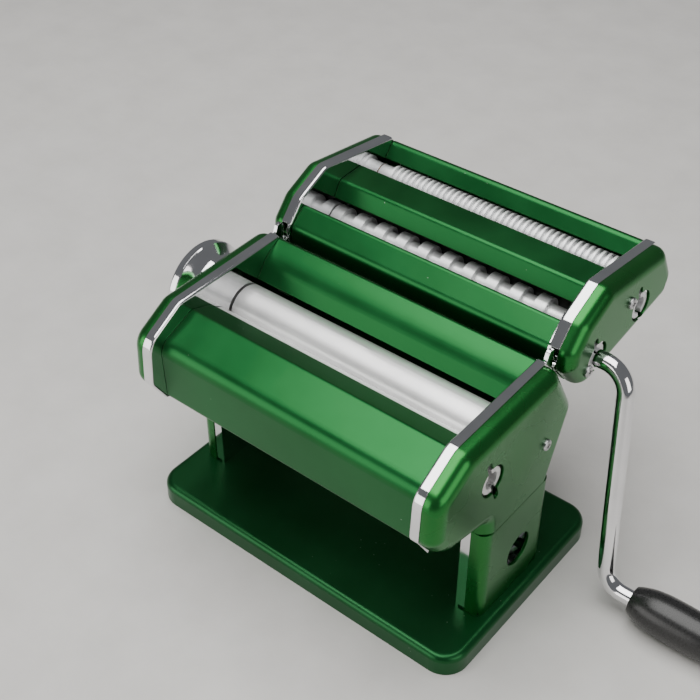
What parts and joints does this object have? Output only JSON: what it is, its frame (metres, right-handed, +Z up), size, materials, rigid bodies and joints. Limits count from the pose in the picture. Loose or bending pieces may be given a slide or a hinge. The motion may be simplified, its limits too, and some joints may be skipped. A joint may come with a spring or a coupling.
{
  "type": "pasta roller machine",
  "caption": "Manual table-top pasta machine: smooth dough rollers with a thickness knob, a lift-off head with wide and fine cutting rollers, and a crank.",
  "frame": {"origin": "middle of the base footprint, on the table plane", "axes": "+X along the rollers towards the crank, +Y to the rear where the cutter head hangs, +Z up"},
  "size_m": [0.311, 0.1991, 0.1572],
  "materials": {
    "green_paint": "satin",
    "green_metallic": "satin metallic",
    "chrome": "polished",
    "roller_aluminium": "satin turned",
    "plated_steel": "plated",
    "bronze": "plain",
    "rubber": "matte",
    "black_plastic": "gloss"
  },
  "bodies": {
    "machine": {"base_pads": "rubber", "base_plate": "green_paint", "base_screws": "plated_steel", "cover_screws": "plated_steel", "front_casing": "green_metallic", "front_scraper": "plated_steel", "hanger_brackets": "chrome", "index_ring": "plated_steel", "left_leg_cover": "green_paint", "left_side_cover": "green_paint", "left_side_frame": "chrome", "rear_casing": "green_metallic", "right_leg_cover": "green_paint", "right_side_cover": "green_paint", "right_side_frame": "chrome", "roller_bushes": "bronze", "tie_rod_nuts": "plated_steel", "tie_rods": "plated_steel"},
    "cutter_head": {"cutter_left_frame": "chrome", "cutter_right_frame": "chrome", "cutter_left_cover": "green_paint", "cutter_right_cover": "green_paint", "cutter_front_panel": "green_metallic", "cutter_ridge": "green_metallic", "cutter_rear_panel": "green_metallic", "cutter_bushes": "bronze", "cutter_divider": "plated_steel", "wide_combs": "plated_steel", "fine_combs": "plated_steel", "cutter_tie_rods": "plated_steel", "cutter_screws": "plated_steel", "cutter_pins": "plated_steel"},
    "front_roll": {"front_roller": "roller_aluminium", "front_roller_gear": "plated_steel"},
    "carriage": {"left_bearing_block": "plated_steel", "right_bearing_block": "plated_steel", "carriage_bar": "plated_steel", "rear_scraper": "plated_steel"},
    "rear_roll": {"rear_roller": "roller_aluminium", "rear_roller_gear": "plated_steel"},
    "adjuster": {"adjuster_shaft": "plated_steel", "knob_spring": "plated_steel"},
    "knob": {"thickness_knob": "chrome", "index_pin": "plated_steel"},
    "wide_drive": {"wide_cutter_front": "plated_steel", "wide_front_gear": "plated_steel"},
    "wide_mate": {"wide_cutter_rear": "plated_steel", "wide_rear_gear": "plated_steel"},
    "fine_drive": {"fine_cutter_front": "plated_steel", "fine_front_gear": "plated_steel"},
    "fine_mate": {"fine_cutter_rear": "plated_steel", "fine_rear_gear": "plated_steel"},
    "crank": {"crank_rod": "chrome", "crank_cross_pin": "chrome", "grip_cap": "plated_steel"},
    "grip": {"crank_grip": "black_plastic"}
  },
  "joints": [
    {"name": "front_roller_spin", "type": "hinge", "parent": "machine", "child": "front_roll", "pos_m": [0, -0.0322, 0.1062], "axis": [1, 0, 0], "continuous": true},
    {"name": "knob_turn", "type": "hinge", "parent": "machine", "child": "adjuster", "pos_m": [-0.095, -0.0072, 0.1062], "axis": [-1, 0, 0], "range_deg": [0, 270]},
    {"name": "roller_gap", "type": "slide", "parent": "machine", "child": "carriage", "axis": [0, 1, 0], "range_m": [0, 0.0039]},
    {"name": "rear_roller_spin", "type": "hinge", "parent": "carriage", "child": "rear_roll", "pos_m": [0, -0.0072, 0.1062], "axis": [1, 0, 0], "continuous": true},
    {"name": "knob_pull", "type": "slide", "parent": "adjuster", "child": "knob", "axis": [-1, 0, 0], "range_m": [0, 0.005], "stiffness_N_per_m": 400},
    {"name": "cutter_lift", "type": "slide", "parent": "machine", "child": "cutter_head", "axis": [0, 0, 1], "range_m": [0, 0.06]},
    {"name": "wide_cutter_spin", "type": "hinge", "parent": "cutter_head", "child": "wide_drive", "pos_m": [0, 0.0521, 0.1219], "axis": [1, 0, 0], "continuous": true},
    {"name": "wide_mate_spin", "type": "hinge", "parent": "cutter_head", "child": "wide_mate", "pos_m": [0, 0.0667, 0.1219], "axis": [1, 0, 0], "continuous": true},
    {"name": "fine_cutter_spin", "type": "hinge", "parent": "cutter_head", "child": "fine_drive", "pos_m": [0, 0.0919, 0.1286], "axis": [1, 0, 0], "continuous": true},
    {"name": "fine_mate_spin", "type": "hinge", "parent": "cutter_head", "child": "fine_mate", "pos_m": [0, 0.1061, 0.131], "axis": [1, 0, 0], "continuous": true},
    {"name": "crank_pull", "type": "slide", "parent": "wide_drive", "child": "crank", "axis": [1, 0, 0], "range_m": [0, 0.03]},
    {"name": "grip_spin", "type": "hinge", "parent": "crank", "child": "grip", "pos_m": [0.17, 0.026, 0.0115], "axis": [1, 0, 0], "continuous": true}
  ],
  "couplings": [
    {"joint": "roller_gap", "follows": "knob_turn", "m_per_rad": 0.00082761},
    {"joint": "rear_roller_spin", "follows": "front_roller_spin", "ratio": -1},
    {"joint": "wide_mate_spin", "follows": "wide_cutter_spin", "ratio": -1},
    {"joint": "fine_mate_spin", "follows": "fine_cutter_spin", "ratio": -1}
  ]
}
